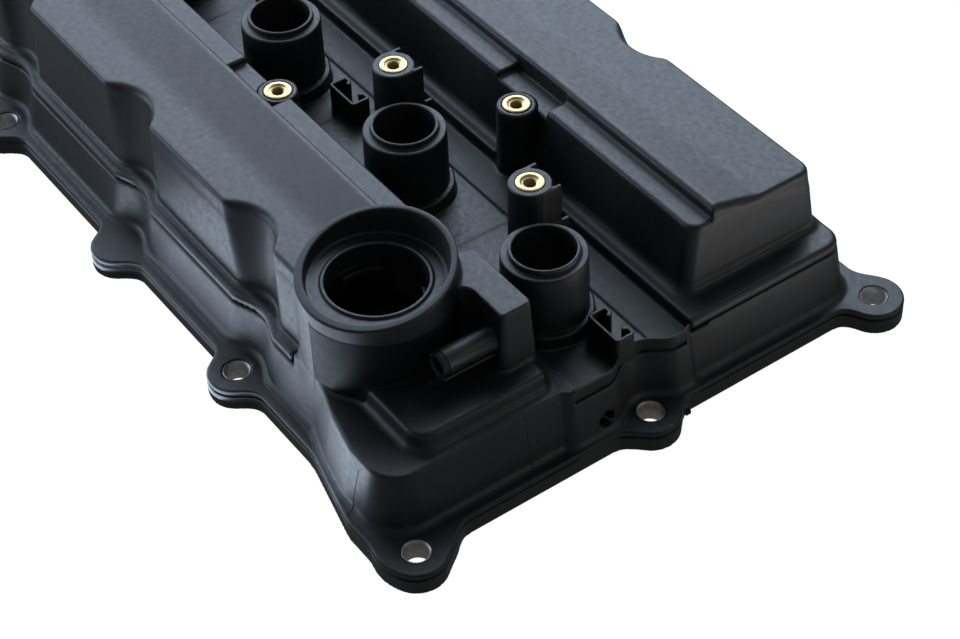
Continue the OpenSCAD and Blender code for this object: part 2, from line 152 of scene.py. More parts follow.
def plan(points, x, y):
    """Signed distance in plan to a closed outline, negative inside."""
    shape = np.broadcast(x, y).shape
    best = np.full(shape, FAR * FAR, np.float32)
    inside = np.zeros(shape, bool)
    for (ax, ay), (bx, by) in zip(points, np.roll(points, -1, axis=0)):
        ex, ey = bx - ax, by - ay
        px, py = x - ax, y - ay
        t = np.clip((px * ex + py * ey) / (ex * ex + ey * ey + 1e-12), 0, 1)
        best = np.minimum(best, (px - ex * t) ** 2 + (py - ey * t) ** 2)
        if ay != by:
            inside ^= ((ay > y) != (by > y)) & (px < ex * py / ey)
    best = np.sqrt(best)
    return np.where(inside, -best, best)


def slab(points, z0, z1, lean=0.0, edge=0.0, at=None):
    """A flat-topped solid on an outline. Its sides lean in by lean going up, from height at."""
    at = z1 if at is None else at
    spread = abs(lean) * max(abs(z0 - at), abs(z1 - at)) + 1
    low, high = points.min(0) - spread, points.max(0) + spread

    def distance(x, y, z):
        side = (plan(points, x, y) + lean * (z - at)) / np.hypot(1, lean)
        return np.maximum(meet(side, z - z1, edge), z0 - z)

    return (low[0], low[1], z0), (high[0], high[1], z1), distance


def post(cx, cy, z0, z1, r, lean=0.0, edge=0.0):
    """An upright round solid, r wide at the top."""
    wide = r + abs(lean) * (z1 - z0)

    def distance(x, y, z):
        side = (np.hypot(x - cx, y - cy) - r + lean * (z - z1)) / np.hypot(1, lean)
        return np.maximum(meet(side, z - z1, edge), z0 - z)

    return (cx - wide, cy - wide, z0), (cx + wide, cy + wide, z1), distance


def plane(nx, ny, nz, px, py, pz):
    """Distance to the half-space behind a plane through (px, py, pz)."""
    size = np.sqrt(nx * nx + ny * ny + nz * nz)
    return lambda x, y, z: (nx * (x - px) + ny * (y - py) + nz * (z - pz)) / size


def wedge(low, high, faces):
    """A solid bounded by planes, taken one after the other as (plane, edge radius)."""

    def distance(x, y, z):
        d = faces[0][0](x, y, z)
        for face, edge in faces[1:]:
            d = meet(d, face(x, y, z), edge)
        return d

    return low, high, distance


class Field:
    """A solid sampled on a grid of points."""

    def __init__(self, low, high, step):
        self.step = step
        self.low = np.array(low, float)
        counts = np.ceil((np.array(high, float) - self.low) / step).astype(int) + 1
        self.axes = [
            (self.low[i] + step * np.arange(counts[i])).astype(np.float32) for i in range(3)
        ]
        self.d = np.full(counts, FAR, np.float32)

    def window(self, low, high, pad):
        """The grid's part round a box, and its x, y and z. None if the box is off the grid."""
        cuts = []
        for i in range(3):
            start = np.searchsorted(self.axes[i], low[i] - pad)
            stop = np.searchsorted(self.axes[i], high[i] + pad)
            if stop <= start:
                return None
            cuts.append(slice(int(start), int(stop)))
        x = self.axes[0][cuts[0]][:, None, None]
        y = self.axes[1][cuts[1]][None, :, None]
        z = self.axes[2][cuts[2]][None, None, :]
        return tuple(cuts), x, y, z

    def add(self, solid, fillet=0.0):
        """Joins on a (low corner, high corner, distance) solid."""
        found = self.window(solid[0], solid[1], fillet + 3 * self.step)
        if found:
            part, x, y, z = found
            self.d[part] = join(self.d[part], solid[2](x, y, z), fillet)

    def cut(self, solid, edge=0.0):
        """Takes a solid away."""
        found = self.window(solid[0], solid[1], edge + 3 * self.step)
        if found:
            part, x, y, z = found
            self.d[part] = meet(self.d[part], -solid[2](x, y, z), edge)

    def sample(self, p):
        """Distances at points p, in millimetres."""
        g = (p - self.low) / self.step
        limit = np.array(self.d.shape) - 2
        i = np.clip(np.floor(g).astype(int), 0, limit)
        f = (g - i).astype(np.float32)
        total = 0.0
        for corner in range(8):
            o = [(corner >> k) & 1 for k in range(3)]
            w = 1.0
            for k in range(3):
                w = w * (f[:, k] if o[k] else 1 - f[:, k])
            total = total + w * self.d[i[:, 0] + o[0], i[:, 1] + o[1], i[:, 2] + o[2]]
        return total

    def slope(self, p, reach):
        """Unit vector away from the solid at points p."""
        g = np.empty((len(p), 3), np.float32)
        for k in range(3):
            o = np.zeros(3)
            o[k] = reach
            g[:, k] = self.sample(p + o) - self.sample(p - o)
        return g / np.maximum(np.linalg.norm(g, axis=1, keepdims=True), 1e-6)

    def settle(self, p, rounds=3):
        """Moves points p onto the solid's surface."""
        for _ in range(rounds):
            d = np.clip(self.sample(p), -self.step, self.step)
            p = p - d[:, None] * self.slope(p, self.step * 0.5)
        return p

    def surface(self, wanted=None):
        """Corners and faces of the surface, for the faces whose middle the rule wants."""
        filled = self.d < 0
        cells = np.array(self.d.shape) - 1
        total = np.zeros(cells, np.uint8)
        for dx in (0, 1):
            for dy in (0, 1):
                for dz in (0, 1):
                    total += filled[dx:dx + cells[0], dy:dy + cells[1], dz:dz + cells[2]]
        mixed = (total > 0) & (total < 8)
        ids = np.full(cells, -1, np.int64)
        where = np.argwhere(mixed)
        ids[mixed] = np.arange(len(where))
        place = np.zeros((len(where), 3))
        crossings = np.zeros(len(where))
        for axis in range(3):
            others = [k for k in range(3) if k != axis]
            for u in (0, 1):
                for v in (0, 1):
                    a = where.copy()
                    a[:, others[0]] += u
                    a[:, others[1]] += v
                    b = a.copy()
                    b[:, axis] += 1
                    da, db = self.d[tuple(a.T)], self.d[tuple(b.T)]
                    hit = (da < 0) != (db < 0)
                    t = np.where(hit, da / np.where(hit, da - db, 1), 0)
                    place += np.where(hit[:, None], a + t[:, None] * (b - a), 0)
                    crossings += hit
        place = self.low + self.step * place / crossings[:, None]
        faces = []
        for axis in range(3):
            others = [(axis + 1) % 3, (axis + 2) % 3]
            near = [slice(None)] * 3
            far = [slice(None)] * 3
            near[axis], far[axis] = slice(0, -1), slice(1, None)
            change = filled[tuple(near)] != filled[tuple(far)]
            at = np.argwhere(change)
            keep = np.all([(at[:, k] >= 1) & (at[:, k] < cells[k]) for k in others], axis=0)
            at = at[keep]
            flip = filled[tuple(at.T)]
            ring = []
            for u, v in ((1, 1), (0, 1), (0, 0), (1, 0)):
                c = at.copy()
                c[:, others[0]] -= u
                c[:, others[1]] -= v
                ring.append(ids[tuple(c.T)])
            ring = np.stack(ring, 1)
            ring[~flip] = ring[~flip][:, ::-1]
            faces.append(ring)
        faces = np.concatenate(faces)
        if wanted is not None:
            faces = faces[wanted(place[faces].mean(1))]
        used, faces = np.unique(faces, return_inverse=True)
        return place[used], faces.reshape(-1, 4)


# ---- Meshes ----
def set_mesh(name, points, faces):
    """A new object from points in metres and faces that all have as many corners."""
    mesh = bpy.data.meshes.new(name)
    faces = np.asarray(faces)
    mesh.vertices.add(len(points))
    mesh.vertices.foreach_set("co", np.asarray(points, np.float32).ravel())
    mesh.loops.add(faces.size)
    mesh.loops.foreach_set("vertex_index", faces.astype(np.int32).ravel())
    mesh.polygons.add(len(faces))
    starts = np.arange(0, faces.size, faces.shape[1], dtype=np.int32)
    mesh.polygons.foreach_set("loop_start", starts)
    mesh.polygons.foreach_set("use_smooth", np.ones(len(faces), bool))
    mesh.update(calc_edges=True)
    mesh.validate()
    piece = bpy.data.objects.new(name, mesh)
    bpy.context.scene.collection.objects.link(piece)
    return piece


def thin_out(piece, ratio):
    """Fewer faces, above all on the flat stretches."""
    thin = piece.modifiers.new("thin", "DECIMATE")
    thin.ratio = ratio
    graph = bpy.context.evaluated_depsgraph_get()
    mesh = bpy.data.meshes.new_from_object(piece.evaluated_get(graph))
    piece.modifiers.clear()
    old = piece.data
    piece.data = mesh
    bpy.data.meshes.remove(old)


def moulding(name, field, material, wanted=None, ratio=0.3, sink=0.0):
    """A piece of a sampled solid, with its normals taken from the solid itself.

    Where a finer piece laps over it, the piece lies lower by sink.
    """
    points, faces = field.surface(wanted)
    points = field.settle(points)
    if sink:
        lapped = np.any([inside(box, points) for box in TILES.values()], axis=0)
        points = points - lapped[:, None] * sink * field.slope(points, field.step)
    piece = set_mesh(name, points * MM, faces)
    thin_out(piece, ratio)
    mesh = piece.data
    co = np.empty(len(mesh.vertices) * 3, np.float32)
    mesh.vertices.foreach_get("co", co)
    normals = field.slope(co.reshape(-1, 3) / MM, field.step * 0.6)
    mesh.polygons.foreach_set("use_smooth", np.ones(len(mesh.polygons), bool))
    mesh.normals_split_custom_set_from_vertices(normals)
    mesh.materials.append(material)
    return piece


# ---- Plans of the cover ----
POCKETS = SIDE_BOLTS + [BLANK_X]
WALL = outline([
    (205.5, 107.0, 9), (-205.5, 107.0, 9), (-205.5, -107.6, 10), (142, -107.6, 12),
    (160, -114, 12), (178, -118, 20), (204.5, -118.5, 17), (204.5, -38, 2),
    (207.5, -34, 1), (207.5, 22, 1), (205.5, 25, 2),
])


def wall_distance(x, y):
    """Plan of the lower body's wall at BODY_Z, with a scallop round each bolt."""
    side_r, end_r = 15.0, 13.0
    d = plan(WALL, x, y)
    for bolt in POCKETS:
        for side in (-1, 1):
            d = meet(d, side_r - np.hypot(x - bolt + 1, y - side * EAR_Y), 4.5)
    for end in (-1, 1):
        d = meet(d, end_r - np.hypot(x - end * END_X, y), 5.0)
    return d


def walled(z0, z1, grow=0.0, lean=0.0, edge=0.0):
    """A solid on the wall's plan, grown outwards, with its sides leaning in going up."""

    def distance(x, y, z):
        side = (wall_distance(x, y) - grow + lean * (z - BODY_Z)) / np.hypot(1, lean)
        return np.maximum(meet(side, z - z1, edge), z0 - z)

    return (-226, -130, z0), (226, 130, z1), distance


def inside_wall(solid, inset=1.0):
    """The part of a solid that stays clear of the lower wall's outer face."""

    def distance(x, y, z):
        return np.maximum(solid[2](x, y, z), wall_distance(x, y) + inset)

    return solid[0], solid[1], distance


def flange_distance(x, y, z):
    """The flange with its ears, a rounded top edge and a groove round its side."""
    groove_z, groove_half, groove_depth = 7.1, 0.55, 1.3
    base = outline([
        (215, 118.5, 8), (-215, 118.5, 8), (-215, -118.5, 8), (150, -118.5, 40),
        (189, -127.5, 20), (217, -127.5, 10), (221, -100, 8), (215, -92, 8),
    ])
    d = plan(base, x, y)
    for cx, cy in BOLTS + BLANKS:
        d = join(d, np.hypot(x - cx, y - cy) - EAR_R, 7)
    groove = np.maximum(-groove_depth - d, np.abs(z - groove_z) - groove_half)
    d = meet(meet(d, z - FLANGE_T, 0.9), -groove, 0.15)
    return np.maximum(d, -z)


FLANGE = ((-231, -133, 0), (231, 133, FLANGE_T), flange_distance)


# ---- The cover's solids ----
def terraces(field):
    """The stepped corner below the filler neck, and the breather block."""
    terrace_z, block_z = 44, 72
    step = outline([
        (198.6, -99.6, 8), (198.6, -40, 3), (140, -40, 3), (140, -99.6, 3),
    ])
    field.add(slab(step, 20, terrace_z, lean=0.14, edge=1.7), 3.2)
    block = outline([
        (187.5, -38.2, 2.2), (150, -38.2, 2), (141, -60, 2), (160, -62, 2),
        (166.5, -52.4, 7), (187.5, -52.4, 1.6),
    ])
    field.add(slab(block, 30, block_z, lean=0.07, edge=0.9), 1.6)


def spigot_flat(field):
    """A flat strip moulded along the underside of the breather spigot."""
    half, tip_y, root_y = 4.4, -77.6, -50
    flat = rectangle(SPIGOT_X - half, SPIGOT_X + half, tip_y, root_y, 0.4)
    field.add(slab(flat, 50.2, 51.5, edge=0.3), 0.3)


def neck(field):
    """The filler neck: a leaning rim round a funnel, and a hole with bayonet lugs."""
    rim_z, seat_z, seat_r, hole_r, funnel_r = 77.0, 70.6, 21.9, 20.2, 27.6
    tilt = plane(-0.04, 0.165, -1, *NECK, rim_z)
    field.add(post(*NECK, 20, 84, NECK_R, lean=0.012), 2.2)
    field.cut(wedge((104, -113, 68), (176, -40, 90), [(tilt, 0)]), 0.6)

    def funnel(x, y, z):
        r = np.hypot(x - NECK[0], y - NECK[1])
        return meet(r - funnel_r - 0.12 * (z - 70), 69.6 + 0.03 * (r - 22) - z, 0.8)

    field.cut(((106, -111, 66), (174, -43, 92), funnel), 0.5)
    field.add(post(*NECK, 60, seat_z, seat_r, edge=0.4), 0.5)
    field.cut(post(*NECK, BELOW, ABOVE, hole_r), 0.5)
    field.cut(post(*NECK, 40, 61, 21.3))
    for start in (20, 140, 260):
        field.add(lug(start))


def lug(start):
    """A bayonet lug in the filler hole, over 55 degrees from its start angle."""
    half_turn, inner_r, outer_r, lug_z = 27.5, 17.6, 21.5, 58
    middle = np.radians(start + half_turn)
    cx, cy = np.cos(middle), np.sin(middle)

    def distance(x, y, z):
        dx, dy = x - NECK[0], y - NECK[1]
        r = np.hypot(dx, dy)
        turn = np.abs(np.arctan2(cx * dy - cy * dx, cx * dx + cy * dy))
        off = turn * r - np.radians(half_turn) * 19
        d = np.maximum(np.maximum(inner_r - r, r - outer_r), off)
        return np.maximum(d, np.abs(z - lug_z) - 2)

    low = (NECK[0] - 23, NECK[1] - 23, lug_z - 3)
    return low, (NECK[0] + 23, NECK[1] + 23, lug_z + 3), distance


def rectangle(x0, x1, y0, y1, r=0.0):
    """Outline of an upright rectangle in plan, with rounded corners."""
    return outline([(x1, y0, r), (x1, y1, r), (x0, y1, r), (x0, y0, r)])


def body_solid(field):
    """The lower moulding: flange, walls, decks, tubes, bosses and neck."""
    field.add(FLANGE)
    field.add(walled(FLANGE_T - 6, BODY_Z, 0.0, WALL_LEAN, edge=1.0), 3.0)
    field.cut(slab(rectangle(-230, 124, -130, -37), LIP_Z, 60))
    field.cut(slab(rectangle(-230, 230, 24, 130), SHELF_Z, 60))
    valley = outline([
        (206.2, -31, 2), (206.2, 34.5, 2), (-204, 34.5, 2), (-204, -36, 2),
        (183, -36, 2), (188, -31, 2),
    ])
    ends = (post(END_X, 0, 0, 60, 15.2), post(-END_X, 0, 0, 60, 15.2))
    basin = slab(valley, VALLEY_Z, 60)

    def floor_room(x, y, z):
        d = basin[2](x, y, z)
        for end in ends:
            d = meet(d, -end[2](x, y, z), 1.0)
        return d

    field.cut((basin[0], basin[1], floor_room), 1.0)
    for x in TUBES:
        around = rectangle(x - 60, x + 41.6, -36, 9, 3)
        raised = slab(around, 25, VALLEY_Z + 1.6, lean=0.2, edge=1.0)
        field.add(inside_wall(raised), 1.2)
    field.add(slab(rectangle(-200, 203, 26, 36, 1), 25, 34.6, edge=1.2), 1.5)
    terraces(field)
    spigot_flat(field)
    neck(field)
    for y0, y1, x1 in ((-44.5, -41.0, 150), (37.8, 41.3, 184)):
        field.add(slab(rectangle(-184, x1, y0, y1), 20, 60))
    for side in (-1, 1):
        field.add(slab(rectangle(-189, 189, *sorted((side * 34.5, side * 40))), 20, 34), 1.0)
    for x in TUBES:
        field.add(post(x, TUBE_Y, 5, 60, TUBE_ROOT_R, lean=0.012), 2.0)
    for x in COILS:
        field.add(post(x, COIL_Y, 20, 60, COIL_ROOT_R, lean=0.012), 1.5)
    for x, y, side in ((*LEFT_INSERT, -1), (*RIGHT_INSERT, 1)):
        field.add(post(x, y, 20, PAD_Z, PAD_R, lean=0.01, edge=0.5), 1.0)
        reach = sorted((y + side * 1.0, y + side * 12.0))
        field.add(slab(rectangle(x - PAD_R, x + PAD_R, *reach), 20, 60), 1.0)
    hollow(field)
    for x in TUBES:
        field.add(post(x, TUBE_Y, 5, 40, 20.0))
        field.cut(post(x, TUBE_Y, BELOW, ABOVE, TUBE_BORE_R))
        field.cut(post(x, TUBE_Y, BELOW, 13, SEAL_SEAT_R))
    for x in COILS:
        field.add(post(x, COIL_Y, 24, 60, 7.6))
    for x, y in BOLTS:
        field.cut(post(x, y, BELOW, 12, SLEEVE_R))
    inserts = [(x, COIL_Y, COIL_Z) for x in COILS] + [(*LEFT_INSERT, PAD_Z), (*RIGHT_INSERT, PAD_Z)]
    for x, y, z in inserts:
        field.cut(post(x, y, z - INSERT_L, ABOVE, INSERT_HOLE_R))
    field.cut(gasket_groove())
    blind_pocket(field)
    rim_band(field)


def blind_pocket(field):
    """A small round pocket in the near wall, crossed by a slanting rib."""
    y, z, r, rib_half = -19.5, 15.5, 3.6, 0.55
    bottom_x, rib_x = 204.5, 210.4

    def distance(px, py, pz):
        round_hole = np.hypot(py - y, pz - z) - r
        rib = rib_half - np.abs((py - y) * 0.75 + (pz - z) * 0.66)
        return np.maximum(np.maximum(round_hole, bottom_x - px), np.where(px < rib_x, rib, -FAR))

    field.add(slab(rectangle(201, 209, y - 6, y + 6), 7, 24))
    field.cut(((bottom_x, y - 4, z - 4), (220, y + 4, z + 4), distance), 0.3)


def rim_band(field):
    """The near wall steps back a little below its rim, and carries a thin bead on top."""
    step_z, step_in, bead_z, bead_in, bead_half = 30.2, 0.9, 36.6, 0.7, 0.65
    y = np.linspace(-33, 25, 60)
    x = np.full_like(y, 207.0)
    for _ in range(80):
        x = x - 0.7 * (wall_distance(x, y) + bead_in)
    bead = strip(list(zip(x, y)), bead_half, 31, bead_z, 0.45)

    def distance(x, y, z):
        d = -(wall_distance(x, y) + step_in)
        return np.maximum(np.maximum(d, step_z - z), np.maximum(np.abs(y + 6) - 27.5, 200 - x))

    field.cut(((200, -34, step_z), (212, 22, 40), distance), 0.5)
    field.add(bead, 0.4)


def gasket_groove():
    """The groove for the gasket, in the flange's lower face outside the wall."""
    near, far, deep = 0.6, 4.4, 4.0

    def distance(x, y, z):
        d = wall_distance(x, y)
        return np.maximum(np.maximum(d - far, near - d), z - deep)

    return (-226, -126, -5), (226, 126, deep), distance


def hollow(field):
    """The open underside of the lower moulding."""
    field.cut(walled(BELOW, 21, -3.0, WALL_LEAN, edge=2))
    for y0, y1, x1 in ((-101, -43, 118), (42, 99, 187)):
        field.cut(inside_wall(slab(rectangle(-187, x1, y0, y1, 3), BELOW, 60), SKIN))

    def middle(x, y, z):
        return np.maximum(np.maximum(-36.5 - y, y - 34.5), z - VALLEY_Z + 3)

    field.cut(inside_wall(((-205, -37, -5), (205, 35, VALLEY_Z - 3), middle), SKIN))
    field.cut(inside_wall(slab(rectangle(122, 199, -112, -42, 3), BELOW, 31), SKIN))
    field.cut(slab(rectangle(174, 192, -93, -55, 2), BELOW, 41))
    field.cut(slab(rectangle(170, 184.5, -49.5, -41, 1), BELOW, 69))

    def cup(x, y, z):
        r = np.hypot(x - NECK[0], y - NECK[1])
        d = np.maximum(r - (NECK_R - 3.2), z - 63)
        return np.maximum(d, -np.maximum(r - 24, 44 - z))

    field.cut(((108, -109, -5), (172, -45, 63), cup))


def right_lid_solid(field):
    """The right chamber: a sloping roof, a ledge on the valley side and a shelf round its foot."""
    near, far = plane(1, 0, 0.10, 188.6, 0, 73), plane(-1, 0, 0.10, -188.6, 0, 73)
    outer = plane(0, 1, 0.10, 0, 101.6, 61)
    inner = plane(0, -1, 0.18, 0, 38.5, LEDGE_Z)
    low, high = (-200, 25, 30), (200, 112, 76)
    ledge = wedge(low, high, [
        (outer, 0), (near, 6), (far, 6), (inner, 6), (plane(0, 0, 1, 0, 0, LEDGE_Z), 1.6),
    ])
    roof = wedge(low, high, [
        (outer, 0), (near, 6), (far, 6), (plane(0, -1, 0.05, 0, RISE_Y[1], 73), 1.0),
        (plane(0, 0.24, 0.971, 0, RISE_Y[1], 73), 3.0),
    ])
    field.add(ledge)
    field.add(roof, 0.8)
    for x in POCKETS:
        field.cut(pocket(x, 1), 2.6)
    band = walled(33.4, 37.6, 0.0, WALL_LEAN, edge=1.8)

    def trimmed(x, y, z):
        return np.maximum(band[2](x, y, z), 26.0 - y)

    field.add((band[0], band[1], trimmed), 3.6)
    gap(field, RIGHT_INSERT, 1, *RIGHT_GAP)
    field.cut(room(1, RIGHT_GAP))
    field.cut(slab(rectangle(-230, 230, 20, 130), 10, 33.3))


def room(side, ledge_gap):
    """The hollow inside a chamber, clear of its pockets and of the break in its ledge."""
    if side > 0:
        faces = [
            (plane(0, 1, 0.10, 0, 98.4, 61), 0), (plane(1, 0, 0.10, 185.4, 0, 73), 4),
            (plane(-1, 0, 0.16, -185.2, 0, 73), 4), (plane(0, -1, 0.12, 0, 42.6, 64), 4),
            (plane(0, 0.24, 0.971, 0, RISE_Y[side], 69.8), 1),
        ]
        body = wedge((-190, 38, 20), (190, 110, 72), faces)
    else:
        faces = [
            (plane(0, -1, 0.16, 0, -95.2, 62), 0), (plane(-1, 0, 0.16, -185.2, 0, 73), 4),
            (plane(1, 0, 0, 112, 0, 73), 4), (plane(0, 1, 0.12, 0, -44.8, 64), 4),
            (plane(0, -0.263, 0.965, 0, RISE_Y[side], 69.8), 1),
        ]
        body = wedge((-190, -110, 20), (114, -38, 72), faces)
    inner = 52.2 if side > 0 else -55.7
    thick = 3.2
    x0, x1 = ledge_gap

    def distance(x, y, z):
        d = body[2](x, y, z)
        under_ledge = np.maximum(-side * (y - inner), z - LEDGE_Z + thick)
        d = np.maximum(d, np.minimum(under_ledge, side * (inner - y)))
        for bolt in POCKETS:
            d = np.maximum(d, thick - pocket(bolt, side)[2](x, y, z))
        beside = np.maximum(np.maximum(x0 - 4 - x, x - x1 - 4), side * (y - inner))
        return np.maximum(d, -np.maximum(beside, 60.5 - z))

    return body[0], body[1], distance


def pocket(bolt, side):
    """A round recess in a chamber's outer wall over a bolt. Its axis leans in going up."""
    away = 0.0 if side < 0 else 5.0
    pocket_r, foot_z = 21.0, 33.5

    def distance(x, y, z):
        rise = np.clip((z - 34) / 28, 0, 1.4)
        cx = bolt - 2 - 10.5 * rise
        cy = side * (EAR_Y + away - 6.8 * rise)
        return np.maximum(np.hypot(x - cx, y - cy) - pocket_r, foot_z - z)

    reach = 24 + 6
    y = side * (EAR_Y - 4)
    return (bolt - 2 - 10 - reach, y - reach, 33), (bolt + reach, y + reach, 72), distance


def gap(field, insert, side, x0, x1):
    """The break in a ledge beside a trim insert."""
    lo, hi = sorted((insert[1] - side * 12, RISE_Y[side]))
    field.cut(slab(rectangle(x0, x1, lo, hi), PAD_Z - 1.0, ABOVE), 0.8)
    field.cut(post(*insert, 20, ABOVE, PAD_R + 0.1))


def left_lid_solid(field):
    """The left chamber: a sloping roof, a ledge on the valley side, pockets and a weld band."""
    housing_r, flange_seat_r = 8.4, 11.4
    near, far = plane(1, 0, 0, 128, 0, 73), plane(-1, 0, 0.16, -188.4, 0, 73)
    outer = plane(0, -1, 0.14, 0, -99.0, 62.4)
    inner = plane(0, 1, 0.14, 0, -41, LEDGE_Z)
    low, high = (-200, -115, 30), (130, -30, 76)
    ledge = wedge(low, high, [
        (outer, 0), (near, 0), (far, 6), (inner, 5), (plane(0, 0, 1, 0, 0, LEDGE_Z), 1.2),
    ])
    roof = wedge(low, high, [
        (outer, 0), (near, 0), (far, 6), (plane(0, 1, 0.05, 0, RISE_Y[-1], 73), 0.8),
        (plane(0, -0.233, 0.972, 0, RISE_Y[-1], 73), 3.4),
    ])
    field.add(ledge)
    field.add(roof, 0.8)
    for x in POCKETS:
        field.cut(pocket(x, -1), 2.6)
    band = walled(30.9, 34.2, 0.6, 0.0, edge=1.3)

    def trimmed(x, y, z):
        return np.maximum(np.maximum(band[2](x, y, z), y + 60), x - 122)

    field.add((band[0], (124, -60, 34.2), trimmed), 2.0)
    gap(field, LEFT_INSERT, -1, *LEFT_GAP)
    field.cut(room(-1, LEFT_GAP))
    field.cut(post(*NECK, 20, ABOVE, NECK_R - 1))
    field.cut(slab(rectangle(-230, 230, -130, -20), 10, 30.8))
    field.cut(post(*VALVE, 40, ABOVE, housing_r))
    field.add(post(*VALVE, 58, 69.6, 13.0, lean=0.1, edge=1.0), 2.0)
    field.cut(post(*VALVE, 40, ABOVE, housing_r))
    field.cut(post(*VALVE, 67.0, ABOVE, flange_seat_r))


# ---- Turned and cut details ----
def turned(name, profile, segments, material, place=(0, 0, 0), turn=None, wave=None):
    """A closed (radius, height) profile turned about an upright axis, in millimetres."""
    rings = np.array(profile, float)
    angle = np.linspace(0, 2 * np.pi, segments, endpoint=False)
    r = rings[:, :1] * np.ones(segments)
    if wave is not None:
        r = r + wave(rings[:, :1], rings[:, 1:], angle)
    height = rings[:, 1:] * np.ones(segments)
    points = np.stack([r * np.cos(angle), r * np.sin(angle), height], -1)
    count = len(rings)
    i, k = np.meshgrid(np.arange(count), np.arange(segments), indexing="ij")
    j, m = (i + 1) % count, (k + 1) % segments
    i, j = i * segments, j * segments
    faces = np.stack([i + k, i + m, j + m, j + k], -1)
    points = points.reshape(-1, 3)
    if turn is not None:
        points = points @ np.array(turn).T
    points = points + np.array(place)
    piece = set_mesh(name, points * MM, faces.reshape(-1, 4))
    piece.data.materials.append(material)
    piece.data.set_sharp_from_angle(angle=np.radians(40))
    return piece


def corner_arc(cx, cy, r, start, stop, steps):
    """Points of an arc for a profile, from one angle to another in degrees."""
    angles = np.radians(np.linspace(start, stop, steps))
    return [(cx + r * np.cos(a), cy + r * np.sin(a)) for a in angles]


def detail(name, solids, low, high, step):
    """A small piece of the body on its own fine grid. Solids are (how, solid, radius)."""
    field = Field(low, high, step)
    for how, solid, radius in solids:
        if how == "add":
            field.add(solid, radius)
        else:
            field.cut(solid, radius)
    keep(moulding(name, field, BODY_PLASTIC, ratio=0.5))


def open_path(points, x, y):
    """Distance in plan to an open line through points."""
    best = np.full(np.broadcast(x, y).shape, FAR * FAR, np.float32)
    for (ax, ay), (bx, by) in zip(points[:-1], points[1:]):
        ex, ey = bx - ax, by - ay
        px, py = x - ax, y - ay
        t = np.clip((px * ex + py * ey) / (ex * ex + ey * ey), 0, 1)
        best = np.minimum(best, (px - ex * t) ** 2 + (py - ey * t) ** 2)
    return np.sqrt(best)


def strip(points, half, z0, z1, edge):
    """An upright wall that follows an open line."""
    places = np.array(points)

    def distance(x, y, z):
        return np.maximum(meet(open_path(points, x, y) - half, z - z1, edge), z0 - z)

    low, high = places.min(0) - half, places.max(0) + half
    return (low[0], low[1], z0), (high[0], high[1], z1), distance


def tube_rims():
    """The crisp upper part of each plug tube, with ribs inside its bore."""
    ribs, rib_height, rib_top = 48, 0.55, 66
    profile = [(TUBE_BORE_R, 22.0), (TUBE_BORE_R, 67.6)]
    profile += [*corner_arc(13.5, 69.3, 0.7, 180, 90, 3), (13.6, 70.0)]
    profile += corner_arc(13.6, 69.3, 0.7, 90, 0, 3) + [(14.4, 67.9), (14.9, 67.5), (15.6, 67.5)]
    profile += corner_arc(16.7, 66.7, 0.8, 90, 0, 4) + [(17.6, 60.0), (17.8, 34.5), (17.8, 22.0)]

    def rib(r, z, angle):
        bore = (r < TUBE_BORE_R + 0.1) & (z < rib_top)
        return np.where(bore, -rib_height * np.clip(np.cos(ribs * angle) * 3 - 1.6, 0, 1), 0)

    for i, x in enumerate(TUBES):
        piece = turned(f"plug_tube_{i + 1}", profile, 480, BODY_PLASTIC, (x, TUBE_Y, 0), wave=rib)
        keep(piece)


def coil_bosses():
    """Each coil boss: a round pillar with two thin ribs that run towards the right side."""
    rib_x, rib_half = 8.2, 0.8
    solids = [("add", post(0, 0, 30, COIL_Z, 9.0, lean=0.012, edge=0.7), 0)]
    for side in (-1, 1):
        rib = [(side * rib_x, 0), (side * rib_x, 8.5)]
        solids.append(("add", strip(rib, rib_half, 30, 76.6, 0.3), 0.8))
        foot = [(side * rib_x, 0), (side * rib_x, 12.5)]
        solids.append(("add", strip(foot, rib_half, 30, 58.0, 0.3), 0.5))
    solids.append(("cut", post(0, 0, 62, 90, INSERT_HOLE_R), 0.3))
    for i, x in enumerate(COILS):
        moved = [(how, shifted(solid, x, COIL_Y), r) for how, solid, r in solids]
        low, high = (x - 12, COIL_Y - 12, 33), (x + 12, COIL_Y + 16, 79)
        detail(f"coil_boss_{i + 1}", moved, low, high, FINE)


def shifted(solid, dx, dy):
    """The same solid somewhere else in plan."""
    low, high, distance = solid
    return (
        (low[0] + dx, low[1] + dy, low[2]), (high[0] + dx, high[1] + dy, high[2]),
        lambda x, y, z: distance(x - dx, y - dy, z),
    )


def wire_clips():
    """C-shaped clips for the wiring loom, open towards the right side."""
    shape = [(5.2, 7.6), (4.2, 8.8), (1.6, 8.8), (1.0, 8.2), (1.0, 1.6), (1.6, 1.0),
             (18.4, 1.0), (19.0, 1.6), (19.0, 8.2), (18.4, 8.8), (15.8, 8.8), (14.8, 7.6)]
    top, half, bead_r = 45.0, 0.75, 1.15
    for i, (x0, y0) in enumerate(((183, -9.5), (-2, -9.5))):
        path = [(x0 + x, y0 + y) for x, y in shape]
        solids = [("add", strip(path, half, 30, top, 0.35), 0)]
        for x, y in (path[0], path[-1]):
            solids.append(("add", post(x, y, 30, top, bead_r, edge=0.3), 0.2))
        low, high = (x0 - 3, y0 - 3, 31), (x0 + 23, y0 + 13, 47)
        detail(f"wire_clip_{i + 1}", solids, low, high, FINE * 0.8)


